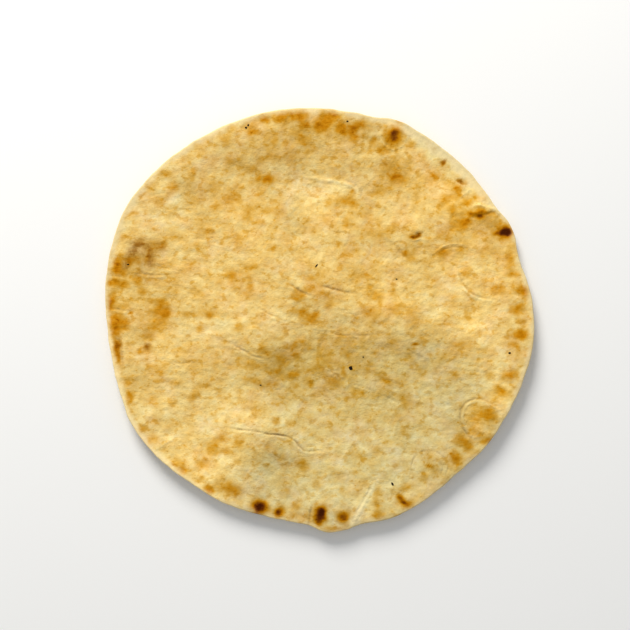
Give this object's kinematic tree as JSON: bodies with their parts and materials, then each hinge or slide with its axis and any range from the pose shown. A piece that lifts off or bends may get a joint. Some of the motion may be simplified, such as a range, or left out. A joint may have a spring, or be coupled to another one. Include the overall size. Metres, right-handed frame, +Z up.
{
  "type": "pita bread",
  "caption": "Round flat pita bread with toasted patches, small char marks, a pale pinched rim and a gently wavy top, lying on its flat underside.",
  "frame": {"origin": "middle of the loaf's bounding box, on the surface that it lies on", "axes": "+Z up through the loaf's thickness, +Y towards its 12 o'clock as seen from above, +X towards 3 o'clock"},
  "size_m": [0.1908, 0.1884, 0.0084],
  "materials": {
    "baked_dough": "matte baked dough, cream to gold, with amber toasted patches and a few dark char marks"
  },
  "bodies": {
    "root": {"pita": "baked_dough"}
  },
  "joints": []
}
